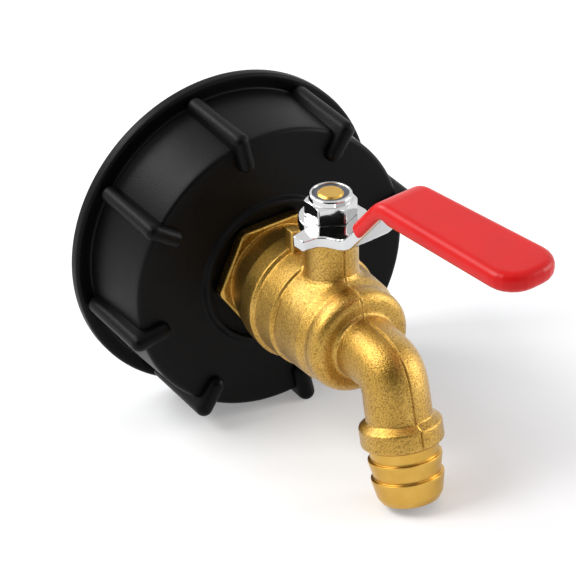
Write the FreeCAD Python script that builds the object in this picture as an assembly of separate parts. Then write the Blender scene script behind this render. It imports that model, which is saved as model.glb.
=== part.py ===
import FreeCAD, Part
import os
from math import cos, radians, sin, tan

# Tank valve: a screw cap for a bulk tank, with a brass ball valve and a hose tail.
# Sizes in mm. Origin at the middle of the cap's mouth, on the axis of its thread.
# +Y points into the tank, water runs towards -Y, +Z is up. "Along" runs from the
# origin with the flow, so along = -y.

# Turned edges with a smaller radius than this are broken by a flat
small_edge_r = 0.9

# Length by which a cutting piece runs past what it cuts
over = 1.0

# Distance within which two places count as one
touch = 0.01

# Cap
flange_r = 38.0
flange_t = 2.8
flange_edge_r = 0.8
skirt_back_r = 34.9
skirt_front_r = 34.4
cap_len = 23.5
cap_edge_r = 2.0
tank_thread_r = 30.2
tank_thread_len = 12.3
thread_relief = 0.7
mouth_depth = 18.5
rib_count = 8
rib_phase = 12.4
rib_r = 2.0
rib_side_rise = 0.2
rib_face_rise = 0.4
rib_reach = 5.8
face_ring_r = 18.0
face_ring_in_r = 16.4
face_ring_h = 1.3
face_ring_slope = 0.7
face_ring_edge = 0.2
face_recess = 1.0
cap_hub_len = 6.0

# Tank gasket
gasket_t = 3.0
gasket_w = 11.0
gasket_clear = 0.4
gasket_hub_clear = 2.8

# Inlet adapter
adapter_thread_r = 10.2
adapter_bore_r = 5.2
hex_af = 25.6
hex_turn = 4.5
hex_t = 2.6
hex_chamfer_t = 0.45
hex_chamfer_w = 1.8
inlet_washer_t = 0.6
inlet_washer_w = 2.0
adapter_neck_r = 11.6
adapter_neck_len = 2.1
adapter_chamfer = 0.6
adapter_tail_r = 11.0
adapter_tail_len = 13.8

# Valve body
body_back_r = 12.7
band_back_r = 14.2
band_r = 14.5
step_back_r = 13.7
step_front_r = 13.4
barrel_back_r = 12.9
barrel_front_r = 12.6
waist_r = 11.8
bulge_r = 12.0
bulge_round = 2.7
flare_len = 5.6
band_len = 4.8
band_edge = 0.5
step_len = 6.3
barrel_len = 9.6
waist_len = 2.0
bulge_rise_len = 1.6
bulge_len = 3.2
front_face_t = 0.5
body_back_edge = 0.5
flare_round = 3.0
step_root_r = 0.3
step_edge_r = 0.2
ledge_root_r = 0.4
waist_round = 1.0
neck_root_r = 0.6
seal_ring_t = 1.0
seal_ring_w = 1.2

# Ball and its seats
stem_along = 48.5
ball_r = 9.0
ball_bore_r = 4.8
chamber_clear = 0.5
seat_outer_r = 8.4
seat_inner_r = 5.2
seat_gap = 0.2
seat_back = 1.2
seat_front_at = 4.2
slot_w = 2.8
slot_wall = 0.9
tang_clear = 0.1

# Stem and its boss
boss_r = 5.8
boss_top = 21.4
boss_edge_r = 0.5
boss_root_r = 1.6
shoulder_r = 4.4
shoulder_t = 1.6
shoulder_z = 9.4
shoulder_clear = 0.15
thrust_t = 0.6
stem_r = 2.95
stem_clear = 0.05
ring_section = 1.3
ring_z = 13.2
ring_depth = 0.9
packing_z = 15.6
packing_t = 2.6
packing_r = 4.2
flat_half = 2.2
stem_thread_r = 2.85
stem_top = 31.5
stem_chamfer = 0.4

# Stop lug beside the boss
lug_x = -3.0
lug_along = 37.6
lug_w = 2.4
lug_len = 3.4
lug_top = 18.2
lug_edge_r = 0.6

# Spout and hose tail
spout_tilt = 14.0
spout_along = 72.7
bend_r = 7.9
bend_bulge = 0.8
spout_r = 7.2
spout_bore_r = 5.2
collar_from = 10.6
collar_len = 5.8
collar_r = 9.0
collar_chamfer = 1.3
collar_rim_chamfer = 0.65
collar_root_cut = 0.4
collar_shoulder_cut = 0.6
collar_rim_cut = 0.3
tail_root_back_r = 7.7
tail_root_r = 7.5
tail_root_len = 2.9
barb_count = 2
barb_pitch = 4.3
barb_crest_r = 8.0
barb_step = 0.1
barb_taper = 0.75
barb_land = 0.6
tail_end_len = 1.5
tail_end_r = 6.3

# Lever
lever_angle = 9.0
plate_t = 2.6
plate_z = 23.4
hub_r = 7.1
hub_side = 3.0
ear_reach = 12.0
ear_back = 1.4
ear_front = 5.0
ear_root_back = -0.5
ear_corner_r = 0.8
ear_front_corner_r = 0.4
ear_web = 2.2
ear_web_len = 0.8
ear_web_r = 3.0
hub_side_r = 2.0
lever_hole_clear = 0.05
neck_half = 5.5
neck_from = 10.7
rise_angle = 49.0
rise = 13.6
bend_in_r = 2.5
paddle_half = 6.1
lever_len = 61.5
paddle_corner_r = 5.0

# Grip
grip_wall = 1.0
grip_from = 15.6
grip_from_z = 31.5
grip_floor_lag = 2.0
grip_root_half = 6.6
grip_tip_half = 8.05
grip_tip_wall = 2.3
grip_corner_r = 6.5
grip_edge_r = 2.0

# Lock nut
nut_af = 10.0
nut_hex_h = 4.0
nut_h = 5.5
nut_collar_r = 4.7
nut_corner_cut = 0.25
nut_top_cut = 0.75
nut_top_inset = 0.1
nut_collar_sink = 0.5
nut_edge_r = 0.7
insert_r = 3.9
insert_t = 1.6
insert_recess = 0.4
nut_turn = 32.0

FORWARD = FreeCAD.Vector(0, -1, 0)
UP = FreeCAD.Vector(0, 0, 1)
RIGHT = FreeCAD.Vector(1, 0, 0)
ORIGIN = FreeCAD.Vector(0, 0, 0)
STEM_FOOT = FORWARD * stem_along

# Places that follow from the sizes
recess_floor = cap_len - face_recess
hex_back = recess_floor + inlet_washer_t
hex_front = hex_back + hex_t
body_back = hex_front + adapter_neck_len
band_from = body_back + flare_len
band_to = band_from + band_len
barrel_from = band_to + step_len
waist_from = barrel_from + barrel_len
waist_to = waist_from + waist_len
bulge_from = waist_to + bulge_rise_len
bulge_to = bulge_from + bulge_len
cap_hub_r = tank_thread_r - gasket_clear - gasket_w - gasket_hub_clear
adapter_back = mouth_depth - cap_hub_len
hex_middle = hex_back + hex_t / 2
adapter_end = body_back + adapter_tail_len
chamber_r = ball_r + chamber_clear
plate_top = plate_z + plate_t
arm_top = plate_top + rise + plate_t
arm_width = 2 * ear_reach + 2 * over
spout_dir = FreeCAD.Vector(0, -sin(radians(spout_tilt)), -cos(radians(spout_tilt)))
spout_root = FORWARD * spout_along
bend_angle = 90.0 - spout_tilt
bend_reach = bend_r * tan(radians(bend_angle / 2))
tail_from = collar_from + collar_len
barbs_from = tail_from + tail_root_len
barbs_to = barbs_from + barb_count * barb_pitch
tail_to = barbs_to + tail_end_len


def rounded_wire(corners, flat_below=0.0):
    """Closed wire through (point, radius) corners. Each is rounded, or cut flat if its radius is small."""
    arcs = []
    count = len(corners)
    for i, (point, radius) in enumerate(corners):
        before = (corners[i - 1][0] - point).normalize()
        after = (corners[(i + 1) % count][0] - point).normalize()
        if radius == 0:
            arcs.append((point, None, point))
            continue
        half = before.getAngle(after) / 2
        reach = radius / tan(half)
        middle = point + (before + after).normalize() * (radius / sin(half) - radius)
        if radius < flat_below:
            middle = None
        arcs.append((point + before * reach, middle, point + after * reach))
    edges = []
    for i, (start, middle, end) in enumerate(arcs):
        if middle is not None:
            edges.append(Part.Arc(start, middle, end).toShape())
        elif not start.isEqual(end, 1e-6):
            edges.append(Part.makeLine(start, end))
        following = arcs[(i + 1) % count][0]
        if not end.isEqual(following, 1e-6):
            edges.append(Part.makeLine(end, following))
    return Part.Wire(edges)


def turned(profile, foot, axis, side=RIGHT):
    """Solid of revolution from (along, radius, corner radius) points about an axis."""
    corners = [(foot + axis * a + side * r, c) for a, r, c in profile]
    return Part.Face(rounded_wire(corners, small_edge_r)).revolve(foot, axis, 360)


def ring(start, length, outer_r, inner_r, foot=ORIGIN, axis=FORWARD):
    """Plain ring or tube, from start for its length."""
    outer = Part.makeCylinder(outer_r, length, foot + axis * start, axis)
    return outer.cut(Part.makeCylinder(inner_r, length, foot + axis * start, axis))


def hex_prism(across_flats, length, foot, axis, turn):
    """Hexagonal prism about an axis, its first corner turned from the side direction."""
    corner_r = across_flats / 2 / cos(radians(30))
    side = RIGHT
    other = axis.cross(side)
    points = []
    for k in range(6):
        a = radians(turn + 60 * k)
        points.append((foot + side * (corner_r * cos(a)) + other * (corner_r * sin(a)), 0))
    return Part.Face(rounded_wire(points)).extrude(axis * length)


def box_between(low, high):
    """Box from its two opposite corners."""
    size = high - low
    return Part.makeBox(size.x, size.y, size.z, low)


# Cap


def make_cap():
    skirt = turned([
        (0, 0, 0), (0, flange_r, 0),
        (flange_t, flange_r, flange_edge_r),
        (flange_t, skirt_back_r, 0),
        (cap_len, skirt_front_r, cap_edge_r),
        (cap_len, face_ring_r, 0),
        (cap_len + face_ring_h, face_ring_r - face_ring_slope, face_ring_edge),
        (cap_len + face_ring_h, face_ring_in_r, 0),
        (recess_floor, face_ring_in_r, 0),
        (recess_floor, 0, 0)], ORIGIN, FORWARD)
    for k in range(rib_count):
        skirt = skirt.fuse(make_rib(rib_phase + 360 / rib_count * k))
    relief_len = mouth_depth - tank_thread_len
    relief = ring(tank_thread_len, relief_len, tank_thread_r + thread_relief, cap_hub_r)
    for hollow in (Part.makeCylinder(tank_thread_r, tank_thread_len, ORIGIN, FORWARD),
                   relief,
                   Part.makeCylinder(cap_hub_r, adapter_back, ORIGIN, FORWARD),
                   Part.makeCylinder(adapter_thread_r, recess_floor, ORIGIN, FORWARD)):
        skirt = skirt.cut(hollow)
    return skirt.removeSplitter()


def make_rib(angle):
    """L-shaped grip rib: a round bar up the skirt, over its corner and in across the face."""
    outward = FreeCAD.Vector(-sin(radians(angle)), 0, cos(radians(angle)))
    corner = outward * (skirt_back_r + rib_side_rise) + FORWARD * (cap_len + rib_face_rise)
    foot = outward * (skirt_back_r + rib_side_rise) + FORWARD * (flange_t / 2)
    inner = corner - outward * rib_reach
    bar = Part.makeCylinder(rib_r, foot.distanceToPoint(corner), foot, FORWARD)
    for piece in (Part.makeSphere(rib_r, corner),
                  Part.makeCylinder(rib_r, rib_reach, inner, outward),
                  Part.makeSphere(rib_r, inner)):
        bar = bar.fuse(piece)
    return bar


def make_gasket():
    return ring(mouth_depth - gasket_t, gasket_t, tank_thread_r - gasket_clear,
                cap_hub_r + gasket_hub_clear)


# Inlet adapter


def make_adapter():
    shaft = turned([
        (adapter_back, adapter_bore_r, 0),
        (adapter_back, adapter_thread_r - adapter_chamfer, 0),
        (adapter_back + adapter_chamfer, adapter_thread_r, 0),
        (hex_middle, adapter_thread_r, 0),
        (hex_middle, adapter_neck_r, 0),
        (body_back, adapter_neck_r, 0),
        (body_back, adapter_tail_r, 0),
        (adapter_end, adapter_tail_r, 0),
        (adapter_end, adapter_bore_r, 0)], ORIGIN, FORWARD)
    corner_r = hex_af / 2 / cos(radians(30))
    hexagon = hex_prism(hex_af, hex_t, FORWARD * hex_back, FORWARD, hex_turn)
    turning = turned([
        (hex_back, 0, 0), (hex_back, corner_r, 0),
        (hex_front - hex_chamfer_t, corner_r, 0),
        (hex_front, corner_r - hex_chamfer_w, 0), (hex_front, 0, 0)], ORIGIN, FORWARD)
    waterway = Part.makeCylinder(adapter_bore_r, hex_t, FORWARD * hex_back, FORWARD)
    seat_pocket = Part.makeCylinder(
        seat_outer_r + seat_gap, adapter_end - seat_pocket_from(), FORWARD * seat_pocket_from(),
        FORWARD)
    return shaft.fuse(hexagon.common(turning).cut(waterway)).cut(seat_pocket)


def seat_pocket_from():
    return stem_along - ball_r - seat_back


def make_inlet_washer():
    return ring(recess_floor, inlet_washer_t, adapter_thread_r + inlet_washer_w,
                adapter_thread_r + gasket_clear)


def make_seal_ring():
    return ring(body_back, seal_ring_t, adapter_tail_r + seal_ring_w, adapter_tail_r)


# Valve body


def elbow(radius):
    """Bend from the flow direction to the spout direction."""
    start = FORWARD * (spout_along - bend_reach)
    section = Part.Face(Part.Wire(Part.makeCircle(radius, start, FORWARD)))
    return section.revolve(start - UP * bend_r, RIGHT, bend_angle)


def elbow_hump():
    """The fuller outer corner of the cast bend, as a ball a little outside the bend's centre line."""
    outward = radians(bend_angle / 2)
    centre = spout_root - FORWARD * bend_reach - UP * bend_r
    reach = bend_r + bend_bulge
    return Part.makeSphere(
        spout_r, centre + FORWARD * (reach * sin(outward)) + UP * (reach * cos(outward)))


def hose_tail():
    """Straight spout with its collar and the barbs that hold the hose."""
    profile = [
        (bend_reach, 0, 0), (bend_reach, spout_r, 0),
        (collar_from, spout_r, collar_root_cut),
        (collar_from + collar_chamfer, collar_r, collar_shoulder_cut),
        (tail_from - collar_rim_chamfer, collar_r, collar_rim_cut),
        (tail_from, collar_r - collar_rim_chamfer, 0),
        (tail_from, tail_root_back_r, 0),
        (barbs_from, tail_root_r, 0)]
    for k in range(barb_count):
        start = barbs_from + barb_pitch * k
        crest_r = barb_crest_r - barb_step * k
        profile += [(start, crest_r, 0), (start + barb_land, crest_r, 0),
                    (start + barb_pitch, crest_r - barb_taper, 0)]
    profile += [(tail_to, tail_end_r, 0), (tail_to, 0, 0)]
    return turned(profile, spout_root, spout_dir)


def make_body():
    shell = turned([
        (body_back, 0, 0), (body_back, body_back_r, body_back_edge),
        (band_from, band_back_r, flare_round),
        (band_to, band_r, band_edge),
        (band_to + band_edge, step_back_r, step_root_r),
        (barrel_from, step_front_r, step_edge_r),
        (barrel_from + band_edge, barrel_back_r, ledge_root_r),
        (waist_from, barrel_front_r, waist_round),
        (waist_to, waist_r, waist_round),
        (bulge_from, bulge_r, waist_round),
        (bulge_to, bulge_r, bulge_round),
        (bulge_to + front_face_t, spout_r, neck_root_r),
        (spout_along - bend_reach, spout_r, 0),
        (spout_along - bend_reach, 0, 0)], ORIGIN, FORWARD)
    lug = box_between(
        FreeCAD.Vector(lug_x - lug_w / 2, -lug_along - lug_len / 2, 0),
        FreeCAD.Vector(lug_x + lug_w / 2, -lug_along + lug_len / 2, lug_top))
    lug = lug.makeFillet(lug_edge_r, [e for e in lug.Edges if is_upright(e)])
    body = shell
    for piece in (make_boss(), lug, elbow(spout_r), elbow_hump(), hose_tail()):
        body = body.fuse(piece)
    for hollow in body_hollows():
        body = body.cut(hollow)
    return body


def body_hollows():
    """The bore for the adapter, the ball's chamber, the waterway and the stem's well."""
    outlet_seat_to = stem_along + ball_r + seat_back
    bend_from = spout_along - bend_reach
    hollows = [
        Part.makeCylinder(radius, end - start, FORWARD * start, FORWARD)
        for start, end, radius in (
            (body_back, body_back + seal_ring_t, adapter_tail_r + seal_ring_w),
            (body_back, adapter_end, adapter_tail_r),
            (adapter_end, stem_along, chamber_r),
            (stem_along, outlet_seat_to, seat_outer_r + seat_gap),
            (outlet_seat_to, bend_from, spout_bore_r))]
    hollows.append(Part.makeSphere(chamber_r, STEM_FOOT))
    hollows.append(elbow(spout_bore_r))
    hollows.append(Part.makeCylinder(
        spout_bore_r, tail_to - bend_reach, spout_root + spout_dir * bend_reach, spout_dir))
    hollows.append(stem_well())
    return hollows


def make_boss():
    """Stem boss with the fillet that blends it into the top of the barrel."""
    reach = boss_r + boss_root_r + boss_edge_r
    saddle_r = (barrel_back_r + barrel_front_r) / 2
    barrel = Part.makeCylinder(saddle_r, 4 * reach, FORWARD * (stem_along - 2 * reach), FORWARD)
    boss = turned([(0, 0, 0), (0, boss_r, 0), (boss_top, boss_r, boss_edge_r),
                   (boss_top, 0, 0)], STEM_FOOT, UP)
    joined = barrel.fuse(boss)
    roots = [e for e in joined.Edges if is_boss_root(e)]
    joined = joined.makeFillet(boss_root_r, roots)
    return joined.common(Part.makeCylinder(reach, boss_top, STEM_FOOT, UP))


def is_boss_root(edge):
    """True for the edges where the boss leaves the barrel."""
    middle = edge.valueAt((edge.FirstParameter + edge.LastParameter) / 2) - STEM_FOOT
    off_axis = FreeCAD.Vector(middle.x, middle.y, 0).Length
    return abs(off_axis - boss_r) < touch and 0 < middle.z < barrel_back_r + touch


def stem_well():
    """Stepped hole through the boss for the stem, its packing and its gland."""
    top_of_shoulder = shoulder_z + shoulder_t + thrust_t
    well = Part.makeCylinder(shoulder_r + shoulder_clear, top_of_shoulder, STEM_FOOT, UP)
    for start, length, radius in (
            (0, boss_top, stem_r + stem_clear),
            (packing_z, boss_top - packing_z, packing_r)):
        well = well.fuse(Part.makeCylinder(radius, length, STEM_FOOT + UP * start, UP))
    return well


# Ball, seats and stem


def make_ball():
    ball = Part.makeSphere(ball_r, STEM_FOOT)
    bore = Part.makeCylinder(ball_bore_r, 2 * ball_r, STEM_FOOT - FORWARD * ball_r, FORWARD)
    floor = ball_bore_r + slot_wall
    slot = box_between(
        STEM_FOOT + FreeCAD.Vector(-ball_r, -slot_w / 2, floor),
        STEM_FOOT + FreeCAD.Vector(ball_r, slot_w / 2, ball_r))
    return turn_with_lever(ball.cut(bore).cut(slot))


def make_seat(direction):
    """Ring that the ball rests on, hollowed to the ball. Direction 1 is the outlet."""
    axis = FORWARD * direction
    seat = ring(seat_front_at, ball_r + seat_back - seat_front_at, seat_outer_r, seat_inner_r,
                STEM_FOOT, axis)
    return seat.cut(Part.makeSphere(ball_r + seat_gap, STEM_FOOT))


def make_stem():
    floor = ball_bore_r + slot_wall
    stem = turned([
        (shoulder_z, 0, 0), (shoulder_z, shoulder_r, 0),
        (shoulder_z + shoulder_t, shoulder_r, 0),
        (shoulder_z + shoulder_t, stem_r, 0),
        (ring_z - ring_section / 2, stem_r, 0),
        (ring_z - ring_section / 2, stem_r - ring_depth, 0),
        (ring_z + ring_section / 2, stem_r - ring_depth, 0),
        (ring_z + ring_section / 2, stem_r, 0),
        (plate_top, stem_r, 0),
        (plate_top, stem_thread_r, 0),
        (stem_top - stem_chamfer, stem_thread_r, 0),
        (stem_top, stem_thread_r - stem_chamfer, 0),
        (stem_top, 0, 0)], STEM_FOOT, UP)
    tang_half = slot_w / 2 - tang_clear
    tang = box_between(
        STEM_FOOT + FreeCAD.Vector(-stem_r, -tang_half, floor + tang_clear),
        STEM_FOOT + FreeCAD.Vector(stem_r, tang_half, shoulder_z))
    return turn_with_lever(stem.fuse(tang).cut(stem_flats()))


def stem_flats(clearance=0.0):
    """The two slices beside the stem's flats, where it carries the lever."""
    near = flat_half + clearance
    far = stem_r + over
    slices = [box_between(STEM_FOOT + FreeCAD.Vector(low, -far, plate_z),
                          STEM_FOOT + FreeCAD.Vector(high, far, plate_top))
              for low, high in ((-far, -near), (near, far))]
    return slices[0].fuse(slices[1])


def make_thrust_washer():
    return ring(shoulder_z + shoulder_t, thrust_t, shoulder_r, stem_r + stem_clear,
                STEM_FOOT, UP)


def make_stem_ring():
    return ring(ring_z - ring_section / 2, ring_section, stem_r, stem_r - ring_depth,
                STEM_FOOT, UP)


def make_packing():
    return ring(packing_z, packing_t, packing_r, stem_r + stem_clear, STEM_FOOT, UP)


def make_gland():
    return ring(packing_z + packing_t, boss_top - packing_z - packing_t, packing_r,
                stem_r + stem_clear, STEM_FOOT, UP)


# Lever


def turn_with_lever(shape):
    """Turns a piece from the open position to the position of the photograph."""
    turned_shape = shape.copy()
    turned_shape.rotate(STEM_FOOT, UP, lever_angle)
    return turned_shape


def lever_point(across, out, height=0.0):
    return STEM_FOOT + RIGHT * across + FORWARD * out + UP * height


def z_bend(thickness, start, end, width):
    """Strip bent up and level again, as wide as given. Start and end are along the lever."""
    slope = radians(rise_angle)
    run = rise / tan(slope)
    middle = plate_z + plate_t / 2
    shift = thickness / 2 * tan(slope / 2)
    half = thickness / 2
    low, high = middle, middle + rise
    corners = [
        (start, low - half, 0),
        (neck_from + shift, low - half, bend_in_r + half + plate_t / 2),
        (neck_from + run + shift, high - half, bend_in_r),
        (end, high - half, 0),
        (end, high + half, 0),
        (neck_from + run - shift, high + half, bend_in_r + thickness),
        (neck_from - shift, low + half, bend_in_r),
        (start, low + half, 0)]
    wire = rounded_wire([(lever_point(-width / 2, a, z), c) for a, z, c in corners])
    return Part.Face(wire).extrude(RIGHT * width)


def paddle_plan(root, root_half, tip, tip_half, corner_r):
    """Tall block with the plan outline of the arm."""
    corners = [(-root_half, root, 0), (-tip_half, tip, corner_r),
               (tip_half, tip, corner_r), (root_half, root, 0)]
    wire = rounded_wire([(lever_point(x, a), c) for x, a, c in corners])
    return Part.Face(wire).extrude(UP * arm_top)


def hub_plan():
    """Tall block with the plan outline of the hub and its stop ear."""
    ear = rounded_wire([
        (lever_point(0, ear_root_back), 0),
        (lever_point(-ear_reach, ear_back), ear_corner_r),
        (lever_point(-ear_reach, ear_front), ear_front_corner_r),
        (lever_point(-neck_half - ear_web, ear_front + ear_web_len), ear_web_r),
        (lever_point(-neck_half, neck_from), 0),
        (lever_point(neck_half, neck_from), 0),
        (lever_point(hub_r, hub_side), hub_side_r),
        (lever_point(hub_r, 0), 0),
        (lever_point(0, 0), 0)])
    disc = Part.makeCylinder(hub_r, arm_top, STEM_FOOT, UP)
    return Part.Face(ear).extrude(UP * arm_top).fuse(disc)


def make_lever_plate():
    strip = z_bend(plate_t, -hub_r - over, lever_len + over, arm_width)
    plan = hub_plan().fuse(
        paddle_plan(neck_from - over, neck_half, lever_len, paddle_half, paddle_corner_r))
    hole = Part.makeCylinder(
        stem_r + lever_hole_clear, plate_t, STEM_FOOT + UP * plate_z, UP)
    hole = hole.cut(stem_flats(lever_hole_clear))
    return turn_with_lever(strip.common(plan).cut(hole).removeSplitter())


def make_grip():
    tip = lever_len + grip_tip_wall
    slope = radians(rise_angle)
    root = lever_point(0, grip_from, grip_from_z)
    climb = FORWARD * cos(slope) + UP * sin(slope)
    outer = z_bend(plate_t + 2 * grip_wall, 0, tip, arm_width)
    sleeve = outer.common(
        paddle_plan(neck_from, grip_root_half, tip, grip_tip_half, grip_corner_r))
    behind = Part.makeCylinder(lever_len, lever_len, root - climb * lever_len, climb)
    sleeve = sleeve.cut(behind)
    rims = [e for e in sleeve.Edges if not is_root_edge(e, root, climb) and not is_upright(e)]
    sleeve = sleeve.makeFillet(grip_edge_r, rims).cut(below_slope())
    strip = z_bend(plate_t, 0, lever_len, arm_width).common(
        paddle_plan(neck_from - over, neck_half, lever_len, paddle_half, paddle_corner_r))
    return turn_with_lever(sleeve.cut(strip))


def below_slope():
    """Block under the rising part of the arm, where the sleeve leaves the metal bare."""
    slope = radians(rise_angle)
    shift = plate_t / 2 * tan(slope / 2)
    run = rise / tan(slope)
    bend_to = neck_from + run + shift
    corners = [
        (0, plate_z, 0),
        (neck_from + shift, plate_z, bend_in_r + plate_t),
        (bend_to, plate_z + rise, bend_in_r),
        (bend_to + grip_floor_lag, plate_z + rise, 0),
        (bend_to + grip_floor_lag, 0, 0), (0, 0, 0)]
    wire = rounded_wire([(lever_point(-arm_width / 2, a, z), c) for a, z, c in corners])
    return Part.Face(wire).extrude(RIGHT * arm_width)


def is_root_edge(edge, root, climb):
    """True for the edges in the sleeve's open end."""
    middle = edge.valueAt((edge.FirstParameter + edge.LastParameter) / 2)
    return abs((middle - root).dot(climb)) < touch


def is_upright(edge):
    """True for straight upright edges that are taller than the plate is thick."""
    return edge.Length > plate_t and edge.Length - edge.BoundBox.ZLength < touch


# Lock nut


def make_nut():
    foot = STEM_FOOT + UP * plate_top
    hexagon = hex_prism(nut_af, nut_hex_h, foot, UP, nut_turn)
    corner_r = nut_af / 2 / cos(radians(30))
    turning = turned([
        (0, 0, 0), (0, corner_r - nut_corner_cut, 0),
        (nut_corner_cut, corner_r, 0),
        (nut_hex_h - nut_top_cut, corner_r, 0),
        (nut_hex_h, nut_af / 2 - nut_top_inset, 0), (nut_hex_h, 0, 0)], foot, UP)
    collar_from_z = nut_hex_h - nut_collar_sink
    collar = turned([
        (collar_from_z, 0, 0), (collar_from_z, nut_collar_r, 0),
        (nut_h, nut_collar_r, nut_edge_r), (nut_h, 0, 0)], foot, UP)
    nut = hexagon.common(turning).fuse(collar)
    bore = Part.makeCylinder(stem_thread_r, nut_h, foot, UP)
    pocket = Part.makeCylinder(insert_r, insert_recess + insert_t,
                               foot + UP * (nut_h - insert_recess - insert_t), UP)
    return nut.cut(bore).cut(pocket)


def make_insert():
    start = plate_top + nut_h - insert_recess - insert_t
    return ring(start, insert_t, insert_r, stem_thread_r, STEM_FOOT, UP)


PIECES = {
    "tank_cap": make_cap,
    "tank_gasket": make_gasket,
    "inlet_washer": make_inlet_washer,
    "inlet_adapter": make_adapter,
    "body_seal_ring": make_seal_ring,
    "valve_body": make_body,
    "inlet_seat": lambda: make_seat(-1),
    "outlet_seat": lambda: make_seat(1),
    "ball": make_ball,
    "stem": make_stem,
    "stem_thrust_washer": make_thrust_washer,
    "stem_seal_ring": make_stem_ring,
    "stem_packing": make_packing,
    "packing_gland": make_gland,
    "lever_plate": make_lever_plate,
    "lever_grip": make_grip,
    "lock_nut": make_nut,
    "lock_nut_insert": make_insert,
}

os.makedirs("parts", exist_ok=True)
for node, make in PIECES.items():
    shape = make()
    print(node, "solids", len(shape.Solids), "valid", shape.isValid(), "volume",
          round(shape.Volume, 1))
    shape.exportStep("parts/" + node + ".step")
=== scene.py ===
"""Tank valve: a black screw cap with a brass ball valve, a hose tail and a red lever."""
from math import cos, pi, radians, sin, tan

import bmesh
import bpy
import numpy as np
from mathutils import Matrix, Vector


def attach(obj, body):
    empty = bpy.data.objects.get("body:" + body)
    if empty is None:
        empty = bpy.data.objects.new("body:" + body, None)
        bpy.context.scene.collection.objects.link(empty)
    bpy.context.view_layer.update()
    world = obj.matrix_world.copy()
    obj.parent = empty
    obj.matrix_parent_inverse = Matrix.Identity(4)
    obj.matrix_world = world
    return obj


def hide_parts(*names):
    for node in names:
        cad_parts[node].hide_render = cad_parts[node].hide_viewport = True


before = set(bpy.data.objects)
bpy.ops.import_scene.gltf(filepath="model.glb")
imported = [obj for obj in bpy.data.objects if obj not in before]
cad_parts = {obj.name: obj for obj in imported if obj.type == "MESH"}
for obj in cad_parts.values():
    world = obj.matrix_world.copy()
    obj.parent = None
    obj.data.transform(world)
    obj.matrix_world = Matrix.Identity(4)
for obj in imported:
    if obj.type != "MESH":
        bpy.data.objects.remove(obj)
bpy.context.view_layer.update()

# Sizes are in millimetres here and become metres in skin(). "Along" runs with the flow, along = -y.
# In a name, R is a radius, T a thickness, H a height, W a width, AF a size across flats and EDGE
# the radius of a rounded edge. BEVEL_T lies along the axis of a turned piece and BEVEL_W across it.
MM = 0.001
MERGE = 0.0005          # points closer than this are one
TINY = 0.01             # reach past an edge when rows are picked by their place

# Cap
FLANGE_R, FLANGE_T = 38.0, 2.8
SKIRT_BACK_R, SKIRT_FRONT_R, SKIRT_CORNER_R = 34.4, 33.8, 1.2
SKIRT_SINK, SKIRT_OVAL = 0.04, 0.02                     # how far the moulding is off round
SKIRT_BACK_MARGIN, SKIRT_FRONT_MARGIN, SKIRT_INNER_MARGIN = 1.0, 2.0, 1.0
CAP_LEN = 23.5
MOUTH_R, MOUTH_DEPTH = 30.2, 18.5
RIB_COUNT, RIB_PHASE, RIB_R, RIB_REACH = 8, 12.4, 2.0, 5.8
RIB_LINE_R, RIB_LINE_ALONG, RIB_FLARE, RIB_SUNK = 35.1, 23.9, 0.2, 1.6
RIB_TURN_STEPS = 9
FACE_RING_R, FACE_RING_IN_R, FACE_RING_H, FACE_RING_BEVEL_W = 18.0, 16.4, 1.3, 0.7
FACE_RECESS = 1.0
CAP_HUB_R, CAP_HUB_LEN = 16.0, 6.0
CAP_COLUMNS = 288

# Thread in the cap's mouth. The fades are shares of its length and of its section's width.
THREAD_PITCH, THREAD_H, THREAD_BASE, THREAD_CREST = 6.0, 1.1, 3.4, 1.2
THREAD_FROM, THREAD_TO, THREAD_ROWS = 2.2, 13.0, 260
THREAD_FLANK_SUNK, THREAD_ROOT_SUNK = 0.05, 0.5
THREAD_FADE, THREAD_END_SHARE = 0.04, 0.05

# Adapter
ADAPTER_R, ADAPTER_BORE_R, ADAPTER_TAIL_R, ADAPTER_TAIL_LEN = 10.2, 5.2, 11.0, 13.8
ADAPTER_BEVEL = 0.6
HEX_AF, HEX_T, HEX_TURN = 25.6, 2.6, 4.5
HEX_BEVEL_T, HEX_BACK_BEVEL_W, HEX_FRONT_BEVEL_W = 0.4, 1.3, 1.1
HEX_CORNER_CUT, HEX_EDGE, HEX_ABOVE_NECK = 0.3, 0.35, 0.2
WASHER_T = 0.6
NECK_R, NECK_LEN, NECK_GAP = 12.0, 2.1, 0.3
HEX_COLUMNS = 360                                       # for the lock nut too

# Body: rings of the casting from the adapter forward, then its inside
BODY_BACK_R = 12.7
BAND_FROM, BAND_BACK_R, BAND_TO, BAND_R = 33.4, 14.2, 38.15, 14.5
STEP_FROM, STEP_BACK_R, STEP_TO, STEP_FRONT_R = 38.7, 13.7, 44.5, 13.4
BARREL_FROM, BARREL_BACK_R, BARREL_TO, BARREL_FRONT_R = 45.0, 12.9, 54.1, 12.6
WAIST_ALONG, WAIST_R = 56.1, 11.8
BULGE_FROM, BULGE_TO, BULGE_R, BULGE_FACE = 57.7, 60.9, 12.0, 61.4
CHAMBER_R, CHAMBER_TO, CHAMBER_FRONT, CHAMBER_FRONT_R = 9.5, 52.5, 58.7, 8.6
SOCKET_CLEAR = 0.02

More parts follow.
